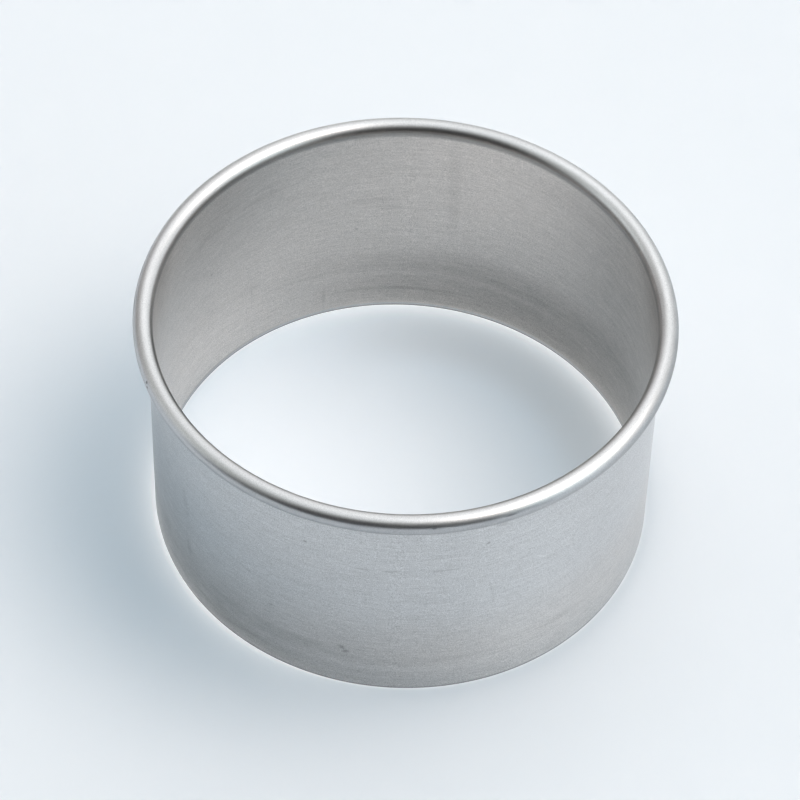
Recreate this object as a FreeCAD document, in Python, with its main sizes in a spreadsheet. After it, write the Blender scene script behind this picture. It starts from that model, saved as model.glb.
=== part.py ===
# Round pastry cutter: one band of stainless sheet, its top edge curled outwards into a hollow rolled rim.
# Millimetres. The origin is the centre of the circle that the cutting edge stands on, with +Z up to the rim.

import FreeCAD, Part

import math
import os

import Sketcher

NODE = "cutter_ring"

# Driving dimensions, each with what it measures
SIZES = {
    "cut_diameter": (76.0, "inside of the wall, and so the round of dough that the cutter gives"),
    "total_height": (42.2, "from the cutting edge to the top of the rim"),
    "sheet_gauge": (0.8, "thickness of the sheet, the same in the wall and in the rim"),
    "curl_bore": (1.4, "across the hollow that the sheet is curled round to make the rim"),
    "curl_gap": (0.12, "between the curl's free edge and the wall"),
    "edge_break": (0.15, "bevel on both corners of the cutting edge"),
}

# Points of a sketch element, and the sketch's own origin and horizontal axis
START, END, CENTRE = 1, 2, 3
ORIGIN = FLOOR = -1


def make_sheet(doc):
    """The spreadsheet of driving dimensions, one a row: name, value and meaning."""
    sheet = doc.addObject("Spreadsheet::Sheet", "Sizes")
    for row, (alias, (value, meaning)) in enumerate(SIZES.items(), start=1):
        sheet.set(f"A{row}", alias)
        sheet.set(f"B{row}", str(value))
        sheet.set(f"C{row}", meaning)
        sheet.setAlias(f"B{row}", alias)
    doc.recompute()
    return sheet


def draw_section(body, sheet):
    """Half section of the band, with X out from the axis and Y up.

    The wall is straight. At the rim both its faces turn outwards into arcs about one centre: the inside face
    becomes the rim's skin, and the outside face becomes the curl's bore. A radial line closes them at the
    sheet's free edge, where the skin has come round to within the gap of the wall.
    """
    sketch = body.newObject("Sketcher::SketchObject", "BandSection")
    upright = next(plane for plane in body.Origin.OriginFeatures if plane.Role == "XZ_Plane")
    sketch.AttachmentSupport = [(upright, "")]
    sketch.MapMode = "FlatFace"

    inside = sheet.cut_diameter / 2
    outside = inside + sheet.sheet_gauge
    bore_radius = sheet.curl_bore / 2
    skin_radius = bore_radius + sheet.sheet_gauge
    curl_x = inside + skin_radius
    curl_y = sheet.total_height - skin_radius
    free_angle = -math.acos((outside + sheet.curl_gap - curl_x) / skin_radius)

    def point(x, y):
        return FreeCAD.Vector(x, y, 0)

    def line(start, end):
        return sketch.addGeometry(Part.LineSegment(start, end), False)

    def curl(radius):
        """An arc of the curl, from the free edge round to the wall, and its point at the free edge."""
        circle = Part.Circle(point(curl_x, curl_y), FreeCAD.Vector(0, 0, 1), radius)
        free_end = point(curl_x + radius * math.cos(free_angle), curl_y + radius * math.sin(free_angle))
        return sketch.addGeometry(Part.ArcOfCircle(circle, free_angle, math.pi), False), free_end

    foot = line(point(inside, 0), point(outside, 0))
    outer_wall = line(point(outside, 0), point(outside, curl_y))
    bore, bore_end = curl(bore_radius)
    skin, skin_end = curl(skin_radius)
    free_edge = line(bore_end, skin_end)
    inner_wall = line(point(inside, curl_y), point(inside, 0))

    for relation in (
        ("Coincident", foot, END, outer_wall, START),
        ("Tangent", outer_wall, END, bore, END),
        ("Coincident", bore, START, free_edge, START),
        ("Coincident", free_edge, END, skin, START),
        ("Tangent", skin, END, inner_wall, START),
        ("Coincident", inner_wall, END, foot, START),
        ("Coincident", bore, CENTRE, skin, CENTRE),
        ("PointOnObject", skin, CENTRE, free_edge),
        ("PointOnObject", foot, START, FLOOR),
        ("Horizontal", foot),
        ("Vertical", outer_wall),
        ("Vertical", inner_wall),
    ):
        sketch.addConstraint(Sketcher.Constraint(*relation))

    def dimension(name, formula, value, kind, *places):
        """A dimension of the sketch, bound to the spreadsheet by its formula."""
        index = sketch.addConstraint(Sketcher.Constraint(kind, *places, value))
        sketch.renameConstraint(index, name)
        sketch.setExpression(f"Constraints.{name}", formula)

    dimension("Inside", "Sizes.cut_diameter / 2", inside, "DistanceX", ORIGIN, START, foot, START)
    dimension("Gauge", "Sizes.sheet_gauge", sheet.sheet_gauge, "DistanceX", foot, START, foot, END)
    dimension("CurlBore", "Sizes.curl_bore / 2", bore_radius, "Radius", bore)
    curl_height = "Sizes.total_height - Sizes.curl_bore / 2 - Sizes.sheet_gauge"
    dimension("CurlHeight", curl_height, curl_y, "DistanceY", ORIGIN, START, skin, CENTRE)
    dimension("CurlGap", "Sizes.curl_gap", sheet.curl_gap, "DistanceX", foot, END, skin, START)
    return sketch


def foot_corners(shape):
    """The names of the edges round the foot, which is the lowest face."""
    foot = min(shape.Faces, key=lambda face: face.CenterOfMass.z)
    numbered = enumerate(shape.Edges, start=1)
    return [f"Edge{count}" for count, edge in numbered if any(edge.isSame(corner) for corner in foot.Edges)]


def make_ring(doc, sheet):
    """The whole cutter: the band's section spun about Z, with both corners of its cutting edge broken."""
    body = doc.addObject("PartDesign::Body", "CutterRing")
    body.Label = NODE
    sketch = draw_section(body, sheet)
    doc.recompute()
    if not sketch.FullyConstrained:
        raise RuntimeError("the band's section is free to move")

    band = body.newObject("PartDesign::Revolution", "SpunBand")
    band.Profile = sketch
    band.ReferenceAxis = (sketch, ["V_Axis"])
    band.Angle = 360.0
    doc.recompute()

    edge_break = body.newObject("PartDesign::Chamfer", "CuttingEdgeBreak")
    edge_break.Base = (band, foot_corners(band.Shape))
    edge_break.setExpression("Size", "Sizes.edge_break")
    doc.recompute()
    body.Tip = edge_break
    doc.recompute()
    return body


def check_and_write(doc, bodies):
    """Stops if a feature failed or a body isn't one valid solid, and then writes one STEP file a body."""
    failed = [thing.Name for thing in doc.Objects if {"Invalid", "Error"} & set(thing.State)]
    if failed:
        raise RuntimeError(f"features that failed: {failed}")
    for body in bodies:
        if body.Shape.isNull() or not body.Shape.isValid() or len(body.Shape.Solids) != 1:
            raise RuntimeError(f"{body.Label} isn't one valid solid")
    os.makedirs("parts", exist_ok=True)
    for body in bodies:
        body.Shape.exportStep(os.path.join("parts", f"{body.Label}.step"))
        box = body.Shape.optimalBoundingBox(False, False)
        print(f"{body.Label}: {box.XLength:.2f} x {box.YLength:.2f} x {box.ZLength:.2f} mm")
        print(f"{body.Label}: {body.Shape.Volume:.1f} mm3, {len(body.Shape.Faces)} faces, lowest {box.ZMin:.3f}")


document = FreeCAD.newDocument("PastryCutter")
sizes = make_sheet(document)
check_and_write(document, [make_ring(document, sizes)])
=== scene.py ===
import math

import bpy
import numpy as np
from mathutils import Matrix


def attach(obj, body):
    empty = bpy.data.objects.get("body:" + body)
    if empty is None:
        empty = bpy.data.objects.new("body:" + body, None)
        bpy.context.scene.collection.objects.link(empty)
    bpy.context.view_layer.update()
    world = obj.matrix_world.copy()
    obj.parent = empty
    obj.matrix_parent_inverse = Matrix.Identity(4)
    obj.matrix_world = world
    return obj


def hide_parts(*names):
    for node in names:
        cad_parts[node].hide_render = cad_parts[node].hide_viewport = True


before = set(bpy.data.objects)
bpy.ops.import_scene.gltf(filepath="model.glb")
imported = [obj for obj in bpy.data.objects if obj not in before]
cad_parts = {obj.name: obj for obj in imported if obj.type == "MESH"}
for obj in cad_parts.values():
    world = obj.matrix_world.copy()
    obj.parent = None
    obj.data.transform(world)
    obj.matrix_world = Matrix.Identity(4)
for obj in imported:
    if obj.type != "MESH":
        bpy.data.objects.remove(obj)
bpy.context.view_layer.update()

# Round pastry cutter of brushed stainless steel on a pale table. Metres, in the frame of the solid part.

MM = 0.001

# Section of the band, with the sizes of the solid part: the wall, and the curl that makes the rim
WALL_INSIDE = 38.0 * MM
GAUGE = 0.8 * MM
HEIGHT = 42.2 * MM
BORE_RADIUS = 0.7 * MM
CURL_GAP = 0.12 * MM
WALL_OUTSIDE = WALL_INSIDE + GAUGE
SKIN_RADIUS = BORE_RADIUS + GAUGE

# The curl's centre, from the axis and above the foot, and the angle on the curl at which its free edge lies
CURL_OFF_AXIS = WALL_INSIDE + SKIN_RADIUS
CURL_HEIGHT = HEIGHT - SKIN_RADIUS
FREE_ANGLE = -math.acos((WALL_OUTSIDE + CURL_GAP - CURL_OFF_AXIS) / SKIN_RADIUS)

# Worn corners of the cutting edge and of the curl's free edge
FOOT_ROUND = 0.16 * MM
LIP_ROUND = 0.15 * MM

# The foot is a little out of round: by how much, and the way in which it is widest, in degrees from +X
FOOT_OVAL = 0.31 * MM
OVAL_WAY = 113.5

# Points of the mesh, round the axis and along each stretch of the section
AROUND = 640
WALL_POINTS = 36
SKIN_POINTS = 44
BORE_POINTS = 16
CORNER_POINTS = 5


def straight(start, end, count):
    """Points start + (end - start) * t, with t running evenly from 0 to 1 and both ends left out."""
    t = np.linspace(0.0, 1.0, count + 2)[1:-1, None]
    return np.array(start) + (np.array(end) - np.array(start)) * t


def arc(centre, radius, first, last, count):
    """Points centre + radius * (cos a, sin a), with a running evenly from first to last."""
    a = np.linspace(first, last, count)
    return np.array(centre) + radius * np.stack([np.cos(a), np.sin(a)], axis=1)


def lip_corner(radius, side):
    """Centre of the rounding where the free edge meets a circle of the curl, and the angle at which it lies.

    The rounding touches the circle and the free edge, which is the ray at FREE_ANGLE, from inside the
    sheet. Its centre is LIP_ROUND off the ray and reach = radius + side * LIP_ROUND from the curl's centre,
    and so it lies at the angle FREE_ANGLE + asin(LIP_ROUND / reach).
    """
    reach = radius + side * LIP_ROUND
    turn = FREE_ANGLE + math.asin(LIP_ROUND / reach)
    centre = (CURL_OFF_AXIS + reach * math.cos(turn), CURL_HEIGHT + reach * math.sin(turn))
    return centre, turn


def band_section():
    """Closed section (r, z) of the sheet, once round it.

    It goes up the inside of the wall, over the curl's skin from 180 degrees back to its free edge, round
    that edge, back along the bore to 180 degrees, down the outside of the wall, and round the foot.
    """
    curl = (CURL_OFF_AXIS, CURL_HEIGHT)
    half_turn = math.pi
    quarter = math.pi / 2
    skin_centre, skin_turn = lip_corner(SKIN_RADIUS, -1)
    bore_centre, bore_turn = lip_corner(BORE_RADIUS, 1)
    low = FOOT_ROUND
    parts = [
        straight((WALL_INSIDE, low), (WALL_INSIDE, CURL_HEIGHT), WALL_POINTS),
        arc(curl, SKIN_RADIUS, half_turn, skin_turn, SKIN_POINTS),
        arc(skin_centre, LIP_ROUND, skin_turn, FREE_ANGLE - quarter, CORNER_POINTS)[1:],
        arc(bore_centre, LIP_ROUND, FREE_ANGLE - quarter, bore_turn - half_turn, CORNER_POINTS)[:-1],
        arc(curl, BORE_RADIUS, bore_turn, half_turn, BORE_POINTS),
        straight((WALL_OUTSIDE, CURL_HEIGHT), (WALL_OUTSIDE, low), WALL_POINTS),
        arc((WALL_OUTSIDE - low, low), low, 0.0, -quarter, CORNER_POINTS),
        arc((WALL_INSIDE + low, low), low, -quarter, -half_turn, CORNER_POINTS),
    ]
    return np.concatenate(parts)


def lengths_along(section):
    """Length s along the section at each of its points. On the inside wall it is the point's height."""
    steps = np.linalg.norm(np.diff(section, axis=0), axis=1)
    return section[0, 1] + np.concatenate([[0.0], np.cumsum(steps)])


def spin_band(section):
    """The section carried once round Z, as a grid of points (section, around).

    A point is (R cos f, R sin f, z), with R = r + FOOT_OVAL * k * cos(2 (f - OVAL_WAY)). The factor k falls
    evenly from 1 at the foot to 0 at the curl. With the points come their places on the unrolled band, for
    its finish: (w cos f, w sin f, s), with w the wall's radius and s the length along the section.
    """
    r = section[:, :1]
    z = section[:, 1:]
    f = np.linspace(0.0, 2 * math.pi, AROUND, endpoint=False)[None, :]
    k = np.clip(1.0 - z / CURL_HEIGHT, 0.0, 1.0)
    oval_r = r + FOOT_OVAL * k * np.cos(2 * (f - math.radians(OVAL_WAY)))
    points = np.stack([oval_r * np.cos(f), oval_r * np.sin(f), z + 0 * f], axis=-1)

    s = lengths_along(section)[:, None]
    around = WALL_OUTSIDE + 0 * s
    places = np.stack([around * np.cos(f), around * np.sin(f), s + 0 * f], axis=-1)
    return points, places


def closed_grid_faces(rows, columns):
    """Four-cornered faces of a grid that closes on itself both ways, as the corners' numbers."""
    row = np.arange(rows)[:, None]
    column = np.arange(columns)[None, :]
    next_row = (row + 1) % rows
    next_column = (column + 1) % columns
    corners = [
        row * columns + column,
        row * columns + next_column,
        next_row * columns + next_column,
        next_row * columns + column,
    ]
    return np.stack(corners, axis=-1).reshape(-1, 4)


def mesh_piece(name, points, faces, smooth=True):
    """A mesh object of that name in the scene, from arrays of points and faces."""
    mesh = bpy.data.meshes.new(name)
    mesh.from_pydata(points.reshape(-1, 3).tolist(), [], faces.tolist())
    mesh.polygons.foreach_set("use_smooth", np.full(len(mesh.polygons), smooth))
    mesh.update()
    piece = bpy.data.objects.new(name, mesh)
    bpy.context.scene.collection.objects.link(piece)
    return piece


def add(tree, kind, inputs=None, **settings):
    """A node of that kind. Each input, by its name or number, gets a plain value or a socket to read from."""
    node = tree.nodes.new(kind)
    for name, value in settings.items():
        setattr(node, name, value)
    for place, value in (inputs or {}).items():
        if isinstance(value, bpy.types.NodeSocket):
            tree.links.new(value, node.inputs[place])
        else:
            node.inputs[place].default_value = value
    return node


def new_material(name):
    """An empty material of that name and its node tree."""
    material = bpy.data.materials.new(name)
    material.use_nodes = True
    material.node_tree.nodes.clear()
    return material, material.node_tree


def maths(tree, operation, first, second=0.0):
    """The result of one sum on two numbers or sockets."""
    return add(tree, "ShaderNodeMath", {0: first, 1: second}, operation=operation).outputs[0]


def product(tree, first, *others):
    """The product of numbers or sockets."""
    total = first
    for other in others:
        total = maths(tree, "MULTIPLY", total, other)
    return total


def ramp(tree, value, low, high, at_low=0.0, at_high=1.0):
    """A smooth step: at_low where value is below low, at_high above high."""
    inputs = {"Value": value, "From Min": low, "From Max": high, "To Min": at_low, "To Max": at_high}
    return add(tree, "ShaderNodeMapRange", inputs, interpolation_type="SMOOTHSTEP").outputs["Result"]


def distance_from(tree, value, middle):
    """How far a value is from middle, either way: |value - middle|."""
    return maths(tree, "ABSOLUTE", maths(tree, "SUBTRACT", value, middle))


def speckle(tree, place, length, width):
    """Noise of features of that length round the band and that width across it, less its mean of one half."""
    scale = (1 / length, 1 / length, 1 / width)
    stretched = add(tree, "ShaderNodeMapping", {"Vector": place, "Scale": scale}, vector_type="POINT")
    inputs = {"Vector": stretched.outputs[0], "Scale": 1.0, "Detail": 1.0, "Roughness": 0.5}
    return maths(tree, "SUBTRACT", add(tree, "ShaderNodeTexNoise", inputs).outputs["Fac"], 0.5)


def weighed_sum(tree, base, parts):
    """The base with every part added to it: base + part * share + part * share, and so on."""
    total = base
    for socket, share in parts:
        sum_so_far = add(tree, "ShaderNodeMath", {0: socket, 1: share, 2: total}, operation="MULTIPLY_ADD")
        total = sum_so_far.outputs[0]
    return total


# Steel: its colour on each part of the band, from the foot inside over the rim to the foot outside. The parts
# differ a little, to match the photo
# The differences between these colours are painted light and shade of the reflections on one steel
INSIDE_COLOUR = (0.602, 0.568, 0.541)
RIM_COLOUR = (0.645, 0.634, 0.620)
UNDER_RIM_COLOUR = (0.598, 0.611, 0.630)
OUTSIDE_COLOUR = (0.584, 0.592, 0.602)
OUTSIDE_LOW_COLOUR = (0.606, 0.594, 0.585)

# Where each colour turns into the next. The rim's does so either side of the curl's start, its underside's by
# the way outwards from its top, the outside's just before the wall, and the low outside's by height
RIM_BLEND = 1.0 * MM
UNDER_RIM_START = 0.8 * MM
UNDER_RIM_FULL = 1.8 * MM
OUTSIDE_BLEND = 0.5 * MM
OUTSIDE_LOW_START = 22.0 * MM
OUTSIDE_LOW_FULL = 6.0 * MM

# Grain: the length and width of the features of each layer, and by how much it shades the colour
GRAIN = {
    "speckle": (0.13 * MM, 0.14 * MM, 1.20),
    "short_scratches": (2.2 * MM, 0.17 * MM, 0.32),
    "long_scratches": (12.0 * MM, 0.30 * MM, 0.16),
    "clouds": (14.0 * MM, 9.0 * MM, 0.07),
}

# Sheen: the roughness, how much the scratches and the clouds change it, and the depth of the scratches. The
# highlights are drawn out by a share, and at a share of a full turn from the grain
STEEL_ROUGHNESS = 0.31
SCRATCH_ROUGHNESS = 0.04
CLOUD_ROUGHNESS = 0.06
SCRATCH_DEPTH = 0.0012 * MM
SHEEN_DRAWN_OUT = 0.6
SHEEN_TURN = 0.25

# Where something lessens: by what share, up to what distance that is full, and at what distance it ends.
# The first lessens the grain on the rim's top. The others are painted shade: darker towards the foot, on
# the cutting edge, in the crease where the sheet turns into the curl, and under the rim
QUIET_RIM_TOP = (0.5, 2.0 * MM, 3.0 * MM)
PAINTED_FOOT_SHADE = (0.13, 2.0 * MM, 20.0 * MM)
PAINTED_EDGE_SHADE = (0.60, 0.1 * MM, 0.60 * MM)
PAINTED_CREASE_SHADE = (0.46, 0.1 * MM, 0.85 * MM)
PAINTED_UNDER_RIM_SHADE = (0.26, 1.4 * MM, 2.8 * MM)

# Marks, and painted light and shade, on each side of the band: angle from +X in degrees, height in mm, half
# length and half width in mm, turn from level in degrees, and how much darker the steel is there. On the rim
# the height is the way outwards from its top
MARKS_AND_PAINTED_LIGHT = {
    # Broad darker stretches on the left and brighter ones on the right, which are painted shade and
    # painted light, a bright ring near the foot with dark smears over it, scratches, dashes and specks
    "outside": (
        (-125.0, 6.0, 42.0, 32.0, 0, 0.10),
        (-165.0, 14.0, 20.0, 34.0, 0, 0.16),
        (-140.0, 1.0, 28.0, 13.0, 0, 0.17),
        (-60.0, 20.0, 16.0, 28.0, 0, -0.06),
        (-45.0, 1.0, 36.0, 15.0, 0, -0.20),
        (-88.0, 4.9, 38.0, 1.00, 0, -0.06),
        (-100.0, 6.7, 30.0, 0.70, 0, 0.04),
        (-124.0, 7.6, 16.0, 1.90, 0, 0.06),
        (-110.0, 7.8, 6.0, 1.20, 0, 0.08),
        (-78.0, 7.0, 7.0, 0.80, 0, 0.07),
        (-51.0, 7.8, 5.5, 1.30, 0, 0.09),
        (-132.0, 2.8, 20.0, 1.40, 0, 0.06),
        (-157.5, 8.0, 3.0, 2.40, 0, 0.09),
        (-146.5, 21.5, 4.2, 1.00, 80, 0.10),
        (-145.5, 11.5, 3.6, 0.90, 80, 0.10),
        (-102.0, 8.8, 0.9, 0.55, 30, 0.32),
        (-101.0, 7.9, 0.8, 0.50, -30, 0.32),
        (-97.8, 28.6, 2.6, 0.28, 0, 0.24),
        (-91.6, 28.6, 1.6, 0.30, 0, 0.24),
        (-79.5, 28.6, 3.4, 0.27, 0, 0.20),
        (-68.8, 21.5, 4.4, 0.26, 80, 0.10),
        (-57.0, 25.6, 1.5, 0.20, 35, -0.18),
        (-125.0, 18.5, 0.8, 0.50, 20, 0.14),
        (-119.0, 13.2, 0.7, 0.45, -15, 0.14),
        (-70.2, 33.3, 0.42, 0.36, 0, 0.40),
        (-110.6, 32.0, 0.42, 0.36, 0, 0.36),
        (-67.0, 37.0, 1.6, 0.90, 0, 0.14),
    ),
    # Broad brighter and darker stretches, which are painted highlights and painted shade, with dark dashes
    # and specks
    "rim": (
        (18.0, -0.7, 42.0, 2.3, 0, -0.38),
        (168.0, -1.0, 27.0, 2.6, 0, -0.22),
        (-108.0, -1.5, 62.0, 1.0, 0, 0.36),
        (-158.0, -1.6, 22.0, 1.3, 0, 0.37),
        (-22.0, -1.6, 18.0, 1.2, 0, 0.32),
        (-16.0, 2.3, 24.0, 2.0, 0, 0.22),
        (178.0, 2.3, 18.0, 2.0, 0, 0.20),
        (62.0, 1.0, 46.0, 1.4, 0, 0.12),
        (-72.0, 1.6, 5.0, 0.45, 0, 0.16),
        (-66.8, 1.75, 1.5, 0.22, 0, 0.42),
        (-60.0, 1.8, 2.4, 0.30, 0, 0.16),
        (-82.8, 1.7, 0.5, 0.30, 0, 0.40),
        (-158.5, 1.6, 0.40, 0.30, 0, 0.75),
        (-157.6, 2.0, 0.34, 0.28, 0, 0.70),
    ),
    # Broad darker stretches and brighter ones by the foot, which are painted shade and painted light, a dark
    # band that ends at a bright ring, a dark ring, an upright shade that may be the weld, smears and specks
    "inside": (
        (15.0, 38.0, 32.0, 42.0, 0, 0.24),
        (155.0, 38.0, 30.0, 34.0, 0, 0.16),
        (38.0, 10.0, 32.0, 34.0, 0, 0.09),
        (20.0, 6.0, 28.0, 15.0, 0, 0.09),
        (70.0, 2.0, 34.0, 14.0, 0, 0.14),
        (145.0, 3.0, 26.0, 14.0, 0, -0.13),
        (15.0, 0.0, 22.0, 2.4, 0, -0.16),
        (66.0, 11.4, 46.0, 4.20, 0, 0.085),
        (36.0, 13.4, 20.0, 3.80, 0, 0.045),
        (80.0, 9.8, 38.0, 0.70, 0, 0.06),
        (80.0, 8.1, 44.0, 0.90, 0, -0.05),
        (91.0, 4.4, 18.0, 0.60, 0, 0.11),
        (79.4, 28.5, 15.0, 1.60, 90, 0.085),
        (52.0, 36.4, 16.0, 3.00, 0, 0.05),
        (110.6, 4.2, 3.0, 0.50, 90, 0.14),
        (126.5, 33.3, 6.0, 1.20, 0, 0.09),
        (144.5, 33.0, 7.0, 1.90, 0, 0.06),
        (99.0, 25.6, 6.5, 0.90, 0, 0.09),
        (95.0, 24.0, 4.0, 1.20, 0, 0.06),
        (131.5, 13.2, 4.5, 1.80, 0, 0.07),
        (130.4, 11.5, 3.6, 0.22, 90, 0.12),
        (102.6, 19.2, 0.48, 0.36, 60, 0.22),
        (143.6, 23.5, 0.48, 0.36, 0, 0.18),
        (130.4, 8.7, 0.48, 0.36, 0, 0.18),
    ),
}

# A mark is full up to this share of its size, and noise of this length and width breaks all marks up
MARK_CORE = 0.2
MARK_BREAKS = (3.0 * MM, 0.8 * MM)


def length_to(section, side, height):
    """Length s along the section to a height on that side of the band.

    Inside, s is the height itself. On the rim it is the length up to the rim's top, with the height as the
    way outwards from there. Outside, it is read off the section's own lengths.
    """
    if side == "inside":
        return height
    if side == "rim":
        return CURL_HEIGHT + SKIN_RADIUS * math.pi / 2 + height
    wall = np.isclose(section[:, 0], WALL_OUTSIDE) & (section[:, 1] <= CURL_HEIGHT)
    return float(np.interp(-height, -section[wall, 1], lengths_along(section)[wall]))


def mark(tree, place, section, side, angle, height, half_length, half_width, turn):
    """An oval mark, 1 in its middle and smoothly 0 at its edge.

    The place is taken from the mark's middle, turned to lie along the mark, and divided by the mark's half
    length and half width. How far it is from 0 is then up to MARK_CORE in the middle, and 1 at the edge.
    """
    a = math.radians(angle)
    middle = (WALL_OUTSIDE * math.cos(a), WALL_OUTSIDE * math.sin(a), length_to(section, side, height * MM))
    size = (half_length * MM, half_length * MM, half_width * MM)
    inputs = {"Vector": place, "Location": middle, "Rotation": (math.radians(turn), 0.0, a), "Scale": size}
    within = add(tree, "ShaderNodeMapping", inputs, vector_type="TEXTURE")
    off_middle = add(tree, "ShaderNodeVectorMath", {0: within.outputs[0]}, operation="LENGTH")
    return ramp(tree, off_middle.outputs["Value"], MARK_CORE, 1.0, 1.0, 0.0)


def steel_colour(tree, section, length):
    """The steel's colour at a length along the section, with painted light and shade between parts. Each
    colour is blended in between two lengths.
    """
    outside_top = length_to(section, "outside", CURL_HEIGHT)
    low_start = length_to(section, "outside", OUTSIDE_LOW_START)
    low_full = length_to(section, "outside", OUTSIDE_LOW_FULL)
    under_start = length_to(section, "rim", UNDER_RIM_START)
    under_full = length_to(section, "rim", UNDER_RIM_FULL)
    blends = (
        (CURL_HEIGHT - RIM_BLEND, CURL_HEIGHT + RIM_BLEND, RIM_COLOUR),
        (under_start, under_full, UNDER_RIM_COLOUR),
        (outside_top - OUTSIDE_BLEND, outside_top, OUTSIDE_COLOUR),
        (low_start, low_full, OUTSIDE_LOW_COLOUR),
    )
    colour = INSIDE_COLOUR
    for start, full, next_colour in blends:
        # The mix node's share, and its two vectors
        inputs = {0: ramp(tree, length, start, full), 4: colour, 5: next_colour}
        colour = add(tree, "ShaderNodeMix", inputs, data_type="VECTOR").outputs[1]
    return colour


def lessened(tree, distance, share, full, end):
    """1 - share where the distance is up to full, rising smoothly to 1 where it is end or more."""
    return ramp(tree, distance, full, end, 1.0 - share, 1.0)


def steel_tone(tree, section, place, length, grain_layers):
    """How bright the steel is, as a share of its colour: its grain, marks and painted shade, multiplied.

    The grain is 1 plus each layer times its share, and is quieter on the rim's top. The marks are 1 minus
    the sum of their darknesses, which noise breaks up.
    """
    shades = [(grain_layers[name], share) for name, (_, _, share) in GRAIN.items()]
    off_rim_top = distance_from(tree, length, length_to(section, "rim", 0.0))
    strength = lessened(tree, off_rim_top, *QUIET_RIM_TOP)
    grain = weighed_sum(tree, 1.0, [(weighed_sum(tree, 0.0, shades), strength)])

    # The marks, with the painted light and shade of the broad stretches among them
    rows = [(side, *row) for side, marks in MARKS_AND_PAINTED_LIGHT.items() for row in marks]
    darkening = weighed_sum(tree, 0.0, [(mark(tree, place, section, *shape), dark) for *shape, dark in rows])
    breaks = maths(tree, "ADD", speckle(tree, place, *MARK_BREAKS), 1.0)
    unmarked = maths(tree, "SUBTRACT", 1.0, product(tree, darkening, breaks))

    # Painted shade: darker towards the foot, on the cutting edge, in the crease and under the rim
    spot = add(tree, "ShaderNodeTexCoord").outputs["Object"]
    height = add(tree, "ShaderNodeSeparateXYZ", {0: spot}).outputs["Z"]
    under_rim = CURL_HEIGHT + SKIN_RADIUS * (math.pi - FREE_ANGLE / 2)
    painted_shades = (
        lessened(tree, height, *PAINTED_FOOT_SHADE),
        lessened(tree, height, *PAINTED_EDGE_SHADE),
        lessened(tree, distance_from(tree, length, CURL_HEIGHT), *PAINTED_CREASE_SHADE),
        lessened(tree, distance_from(tree, length, under_rim), *PAINTED_UNDER_RIM_SHADE),
    )
    return product(tree, grain, unmarked, *painted_shades)


def satin_steel(section):
    """Steel with a fine grain round the band, with the marks that the photo shows, and with painted light and
    shade.
    """
    material, tree = new_material("satin_steel")
    place = add(tree, "ShaderNodeAttribute", attribute_name="unrolled").outputs["Vector"]
    length = add(tree, "ShaderNodeSeparateXYZ", {0: place}).outputs["Z"]
    grain_layers = {name: speckle(tree, place, *size) for name, (*size, _) in GRAIN.items()}
    scratches = grain_layers["short_scratches"]
    clouds = grain_layers["clouds"]

    # Its colour on each part, with painted light and shade between the parts
    part_colour = steel_colour(tree, section, length)
    tone = steel_tone(tree, section, place, length, grain_layers)
    colour = add(tree, "ShaderNodeVectorMath", {0: part_colour, "Scale": tone}, operation="SCALE")
    uneven = [(scratches, SCRATCH_ROUGHNESS), (clouds, CLOUD_ROUGHNESS)]
    bump = add(tree, "ShaderNodeBump", {"Height": scratches, "Strength": 1.0, "Distance": SCRATCH_DEPTH})
    tangent = add(tree, "ShaderNodeTangent", direction_type="RADIAL", axis="Z")
    steel = {
        "Base Color": colour.outputs[0],
        "Metallic": 1.0,
        "Roughness": weighed_sum(tree, STEEL_ROUGHNESS, uneven),
        "Anisotropic": SHEEN_DRAWN_OUT,
        "Anisotropic Rotation": SHEEN_TURN,
        "Normal": bump.outputs[0],
        "Tangent": tangent.outputs[0],
    }
    shader = add(tree, "ShaderNodeBsdfPrincipled", steel)
    add(tree, "ShaderNodeOutputMaterial", {"Surface": shader.outputs[0]})
    return material


# Table: pale and a little translucent, so light that falls beside the cutter also glows in its shadow. Its
# depth is how far light spreads under its surface, and its half is half its side
TABLE_COLOUR = (0.715, 0.681, 0.650, 1.0)
TABLE_GLOW = (0.040, 0.121, 0.187)
TABLE_ROUGHNESS = 0.6
TABLE_SPECULAR = 0.3
TABLE_DEPTH = 0.03
TABLE_HALF = 3.0

# Painted light by the foot, for light that comes through the table. The leaks have a colour and a reach. Each
# side of the wall has one, with its strength and the way in which it lies, and both are full and end at the
# same angles from their way, in degrees. The fine line runs along the foot all round. All this, and the pool
# and heart below, is painted light and shade in the table's glow, and doesn't change with the studio's light
LEAK_COLOUR = (1.08, 1.01, 0.92)
LEAK_REACH = 2.4 * MM
OUTSIDE_LEAK = 0.25
OUTSIDE_LEAK_WAY = -172
INSIDE_LEAK = 0.20
INSIDE_LEAK_WAY = 60
LEAK_FULL = 25
LEAK_END = 90
FOOT_LINE = 0.17
FOOT_LINE_REACH = 0.25 * MM

# Painted pool of light that the bright inside of the band gathers on the table within it, how much it changes
# with each metre rightwards, and how far from the wall it is full
POOL = (0.124, 0.130, 0.133)
POOL_SLOPE = (-0.9, -1.4, -1.8)
POOL_EDGE = 1.0 * MM

# Painted heart of the shadow within the band: the light that it takes, how far its middle is from the wall,
# and how far from its middle it is full and ends. Then its way, and the angles from that at which it is full
# and ends
SHADOW_HEART = (-0.030, -0.050, -0.068)
HEART_OFF_WALL = 6.0 * MM
HEART_FULL = 1.5 * MM
HEART_END = 8.5 * MM
HEART_WAY = 50
HEART_WAY_FULL = 20
HEART_WAY_END = 70

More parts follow.
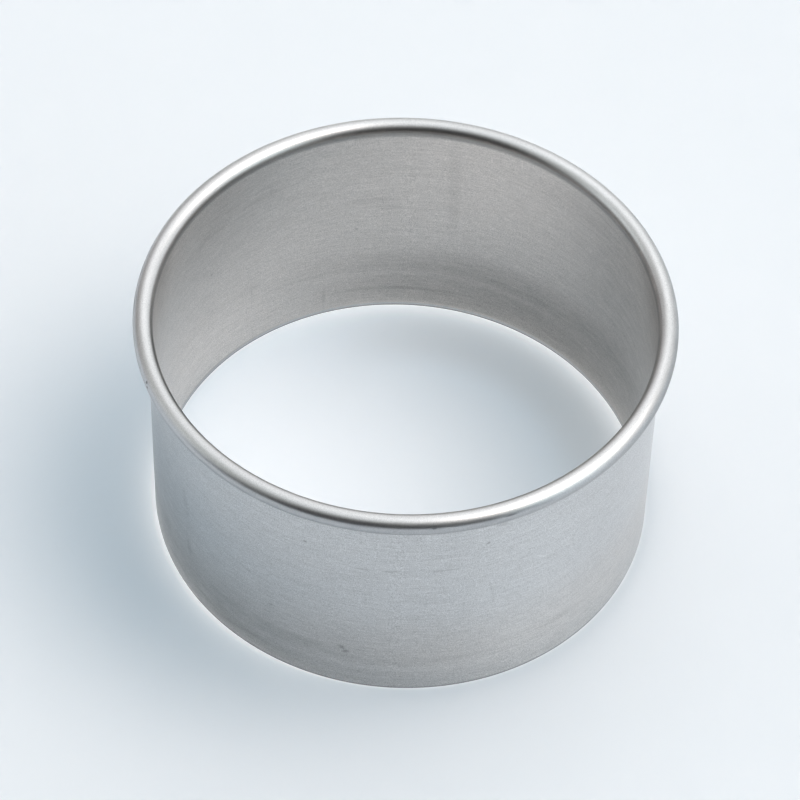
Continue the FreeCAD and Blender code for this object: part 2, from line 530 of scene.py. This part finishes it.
# Studio: soft glows all round. Each has its azimuth and elevation, the angles from there where it is still
# full and where it ends, all in degrees, and its red, green and blue
GLOWS = {
    "key": (0, 60, 0, 26, (4.95, 4.56, 4.38)),
    "room": (30, 40, 20, 85, (0.93, 0.98, 1.02)),
    "room_back": (135, 40, 20, 85, (0.45, 0.45, 0.46)),
    "right_panel": (-30, 20, 0, 26, (0.39, 0.51, 0.54)),
    "left_panel_low": (180, 20, 0, 26, (0.29, 0.32, 0.35)),
    "left_panel_high": (180, 40, 5, 40, (0.11, 0.14, 0.13)),
    "ceiling": (165, 80, 5, 40, (0.15, 0.18, 0.20)),
}


def direction(azimuth, elevation):
    """Unit vector (cos e cos a, cos e sin a, sin e), for angles in degrees."""
    a, e = math.radians(azimuth), math.radians(elevation)
    return np.array([math.cos(e) * math.cos(a), math.cos(e) * math.sin(a), math.sin(e)])


def fading(tree, distance, reach):
    """exp(-distance / reach), and 1 where the distance is below 0."""
    return maths(tree, "EXPONENT", maths(tree, "DIVIDE", maths(tree, "MAXIMUM", distance, 0.0), -reach))


def cosine_to(tree, way, azimuth, elevation):
    """Cosine of the angle between a unit vector and the direction of that azimuth and elevation."""
    inputs = {0: way, 1: tuple(direction(azimuth, elevation))}
    return add(tree, "ShaderNodeVectorMath", inputs, operation="DOT_PRODUCT").outputs["Value"]


def towards(tree, way, azimuth, elevation, full, end, strength=1.0):
    """The strength within full degrees of that direction, falling smoothly to 0 at end degrees from it."""
    nearness = cosine_to(tree, way, azimuth, elevation)
    return ramp(tree, nearness, math.cos(math.radians(end)), math.cos(math.radians(full)), 0.0, strength)


def with_light(tree, glow, level, colour):
    """The glow with a light added to it: glow + level * colour, for red, green and blue alike."""
    inputs = {0: level, 1: colour, 2: glow}
    return add(tree, "ShaderNodeVectorMath", inputs, operation="MULTIPLY_ADD").outputs["Vector"]


def distances_from_foot(tree, spot, outwards):
    """How far a spot of the table is outside the foot, and how far inside it, each below 0 on the other side.

    The foot's radius varies by FOOT_OVAL * cos(2 (f - OVAL_WAY)), which is FOOT_OVAL * (2 c * c - 1) with c
    as the cosine of f - OVAL_WAY. With that taken off the distance from the axis, the foot counts as round.
    """
    off_axis = add(tree, "ShaderNodeVectorMath", {0: spot}, operation="LENGTH").outputs["Value"]
    c = cosine_to(tree, outwards, OVAL_WAY, 0)
    oval = weighed_sum(tree, -1.0, [(product(tree, c, c), 2.0)])
    round_off_axis = weighed_sum(tree, off_axis, [(oval, -FOOT_OVAL)])
    outside = maths(tree, "SUBTRACT", round_off_axis, WALL_OUTSIDE)
    inside = maths(tree, "SUBTRACT", WALL_INSIDE, round_off_axis)
    return outside, inside


def leak(tree, outwards, past_wall, strength, way):
    """Painted light beside the foot, on that side of the wall only: strength * exp(-past_wall / LEAK_REACH).

    It is full up to LEAK_FULL degrees from its way, and falls smoothly to 0 at LEAK_END degrees.
    """
    side = maths(tree, "GREATER_THAN", past_wall, -GAUGE / 2)
    lit = towards(tree, outwards, way, 0, LEAK_FULL, LEAK_END, strength)
    return product(tree, side, lit, fading(tree, past_wall, LEAK_REACH))


def table_glow(tree):
    """The table's glow: its own, and the painted leaks and fine line by the foot, pool and shadow's heart."""
    spot = add(tree, "ShaderNodeTexCoord").outputs["Object"]
    outwards = add(tree, "ShaderNodeVectorMath", {0: spot}, operation="NORMALIZE").outputs["Vector"]
    outside, inside = distances_from_foot(tree, spot, outwards)

    # Painted light by the foot: a fine line all round and a leak on each side
    line = fading(tree, maths(tree, "MAXIMUM", outside, inside), FOOT_LINE_REACH)
    by_foot = (
        (leak(tree, outwards, outside, OUTSIDE_LEAK, OUTSIDE_LEAK_WAY), 1.0),
        (leak(tree, outwards, inside, INSIDE_LEAK, INSIDE_LEAK_WAY), 1.0),
        (line, FOOT_LINE),
    )
    glow = with_light(tree, TABLE_GLOW, weighed_sum(tree, 0.0, by_foot), LEAK_COLOUR)

    # Painted pool of light on the table within the band
    rightwards = add(tree, "ShaderNodeSeparateXYZ", {0: spot}).outputs["X"]
    pool = with_light(tree, POOL, rightwards, POOL_SLOPE)
    glow = with_light(tree, glow, ramp(tree, inside, -GAUGE, POOL_EDGE), pool)

    # Painted heart of the shadow within the band
    off_heart = distance_from(tree, inside, HEART_OFF_WALL)
    in_heart = ramp(tree, off_heart, HEART_FULL, HEART_END, 1.0, 0.0)
    heart_way = towards(tree, outwards, HEART_WAY, 0, HEART_WAY_FULL, HEART_WAY_END)
    return with_light(tree, glow, product(tree, in_heart, heart_way), SHADOW_HEART)


def table_top():
    """Pale table that scatters light under its surface. Only the camera and the steel see its glow."""
    material, tree = new_material("pale_table")
    rays = add(tree, "ShaderNodeLightPath")
    seen = maths(tree, "MAXIMUM", rays.outputs["Is Camera Ray"], rays.outputs["Is Glossy Ray"])
    paint = {
        "Base Color": TABLE_COLOUR,
        "Roughness": TABLE_ROUGHNESS,
        "Specular IOR Level": TABLE_SPECULAR,
        "Subsurface Weight": 1.0,
        "Subsurface Radius": (1.0, 1.0, 1.0),
        "Subsurface Scale": TABLE_DEPTH,
        "Emission Color": table_glow(tree),
        "Emission Strength": seen,
    }
    shader = add(tree, "ShaderNodeBsdfPrincipled", paint, subsurface_method="BURLEY")
    add(tree, "ShaderNodeOutputMaterial", {"Surface": shader.outputs[0]})
    return material


def light_studio():
    """A world that is the sum of the glows. Behind the camera it is dark, as a studio is."""
    world = bpy.data.worlds.new("studio")
    world.use_nodes = True
    tree = world.node_tree
    tree.nodes.clear()
    way = add(tree, "ShaderNodeTexCoord").outputs["Generated"]
    light = add(tree, "ShaderNodeBackground", {"Strength": 0.0}).outputs[0]
    for *reach, colour in GLOWS.values():
        level = towards(tree, way, *reach)
        glow = add(tree, "ShaderNodeBackground", {"Color": (*colour, 1.0), "Strength": level}).outputs[0]
        light = add(tree, "ShaderNodeAddShader", {0: light, 1: glow}).outputs[0]
    add(tree, "ShaderNodeOutputWorld", {"Surface": light})
    bpy.context.scene.world = world


# Camera: its lens and film in millimetres, its distance from the origin and the nearest that it sees in
# metres, and, in degrees, where it stands and how it is turned
LENS = 188.99
FILM_WIDTH = 36.0
CAMERA_DISTANCE = 0.66208
CAMERA_NEAREST = 0.05
CAMERA_AZIMUTH = -90
CAMERA_ELEVATION = 51.2523
CAMERA_YAW = 0.0667
CAMERA_PITCH = 50.0587
CAMERA_ROLL = 1.8649


def place_camera():
    """Long lens from the front, looking down at the cutter."""
    camera = bpy.data.cameras.new("camera")
    camera.lens = LENS
    camera.sensor_width = FILM_WIDTH
    camera.clip_start = CAMERA_NEAREST
    holder = bpy.data.objects.new("camera", camera)
    stand = direction(CAMERA_AZIMUTH, CAMERA_ELEVATION) * CAMERA_DISTANCE
    yaw = Matrix.Rotation(math.radians(CAMERA_YAW), 4, "Z")
    pitch = Matrix.Rotation(math.radians(90 - CAMERA_PITCH), 4, "X")
    roll = Matrix.Rotation(math.radians(CAMERA_ROLL), 4, "Z")
    holder.matrix_world = Matrix.Translation(stand) @ yaw @ pitch @ roll
    bpy.context.scene.collection.objects.link(holder)
    bpy.context.scene.camera = holder


# The band
section = band_section()
points, places = spin_band(section)
band = mesh_piece("cutter_band", points, closed_grid_faces(*points.shape[:2]))
unrolled = band.data.attributes.new("unrolled", "FLOAT_VECTOR", "POINT")
unrolled.data.foreach_set("vector", places.ravel())
band.data.materials.append(satin_steel(section))
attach(band, "root")
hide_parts("cutter_ring")

# The cutter's own solid, under the band that stands for it, has the same finish
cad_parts["cutter_ring"].data.materials.clear()
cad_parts["cutter_ring"].data.materials.append(band.data.materials[0])

# The table, the light and the camera
corners = np.array([[-1, -1, 0], [1, -1, 0], [1, 1, 0], [-1, 1, 0]]) * TABLE_HALF
table = mesh_piece("table", corners, np.array([[0, 1, 2, 3]]), smooth=False)
table.data.materials.append(table_top())
light_studio()
place_camera()
bpy.context.scene.view_settings.view_transform = "Standard"
